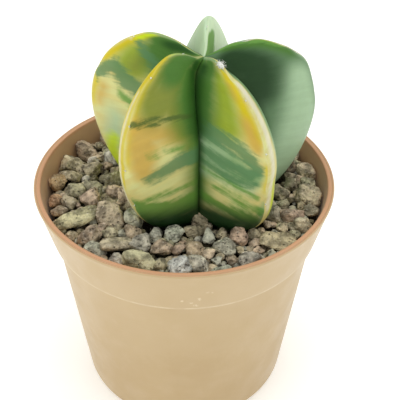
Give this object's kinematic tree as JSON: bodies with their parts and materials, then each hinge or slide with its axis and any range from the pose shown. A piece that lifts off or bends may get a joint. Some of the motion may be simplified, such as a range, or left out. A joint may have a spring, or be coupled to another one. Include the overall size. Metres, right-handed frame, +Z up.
{
  "type": "potted bishops cap cactus",
  "caption": "Five-ribbed spineless cactus with a sunken crown and woolly areoles, growing in a tapered collared nursery pot topped with loose stones.",
  "frame": {"origin": "middle of the pot's foot, on the surface that it stands on", "axes": "+Z up out of the pot; -Y is the front, where the groove between two ribs faces the viewer"},
  "size_m": [0.065, 0.065, 0.0868],
  "materials": {
    "tan_plastic": "moulded tan plastic with a satin sheen",
    "potting_mix": "damp mineral potting mix",
    "pumice": "dry porous pumice and lava grains, grey-brown with reddish and pale ones",
    "cactus_skin": "satin green skin, variegated with yellow and cream"
  },
  "bodies": {
    "root": {"pot": "tan_plastic", "potting_mix": "potting_mix", "top_dressing": "pumice", "cactus": "cactus_skin"}
  },
  "joints": []
}
